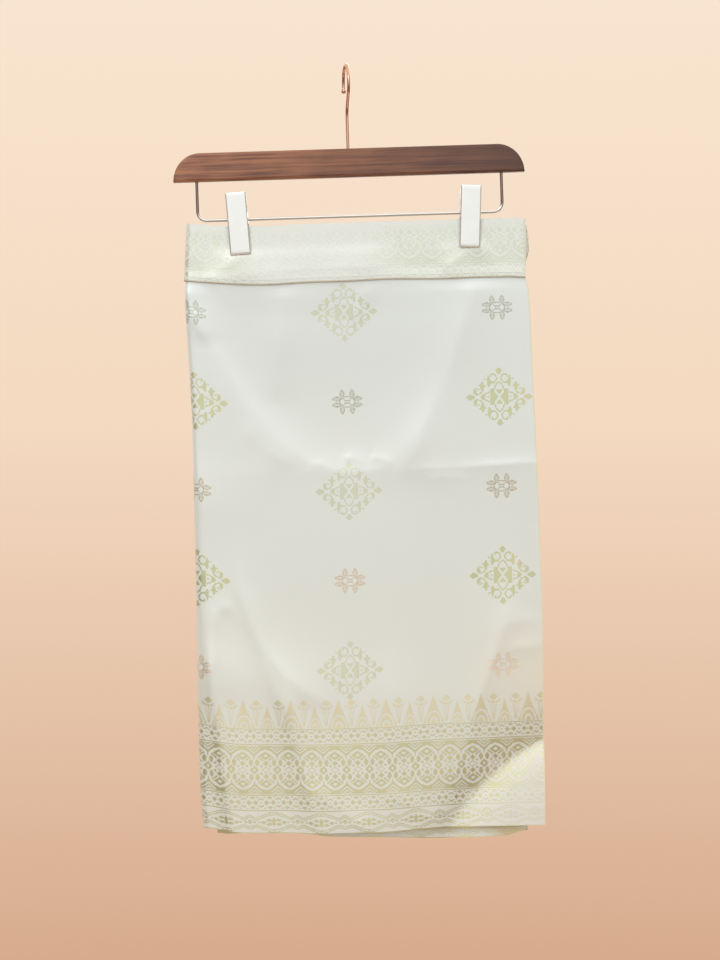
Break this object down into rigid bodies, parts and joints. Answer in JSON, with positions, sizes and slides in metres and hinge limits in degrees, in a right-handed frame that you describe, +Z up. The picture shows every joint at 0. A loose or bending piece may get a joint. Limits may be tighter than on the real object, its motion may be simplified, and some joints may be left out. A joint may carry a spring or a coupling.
{
  "type": "samping on a clip hanger",
  "caption": "Ready-made songket samping, a short ceremonial wrap cloth with a stitched waistband, folded and clipped by its band to a wooden clip hanger with a wire hook.",
  "frame": {"origin": "where the hook bears on a rod, at the inside of the top of its bend", "axes": "+Z up; +X to the right of someone who faces the front layer, along the rod; -Y towards that person"},
  "size_m": [0.3714, 0.0414, 0.7753],
  "materials": {
    "songket_body": "off-white satin songket with gold-thread motifs",
    "songket_band": "off-white satin songket cut from the border pattern",
    "walnut": "dark red-brown satin lacquer over straight grain",
    "copper_wire": "polished, rose-toned plating",
    "plated_wire": "polished plating",
    "plated_clip": "polished sheet metal",
    "clip_pad": "matt grip pad"
  },
  "bodies": {
    "root": {"body_cloth": "songket_body", "waistband": "songket_band", "hanger_bar": "walnut", "hook": "copper_wire", "clip_rail": "plated_wire", "clip_left_front_plate": "plated_clip", "clip_left_back_plate": "plated_clip", "clip_left_spring": "plated_wire", "clip_left_front_pad": "clip_pad", "clip_left_back_pad": "clip_pad", "clip_right_front_plate": "plated_clip", "clip_right_back_plate": "plated_clip", "clip_right_spring": "plated_wire", "clip_right_front_pad": "clip_pad", "clip_right_back_pad": "clip_pad"}
  },
  "joints": []
}
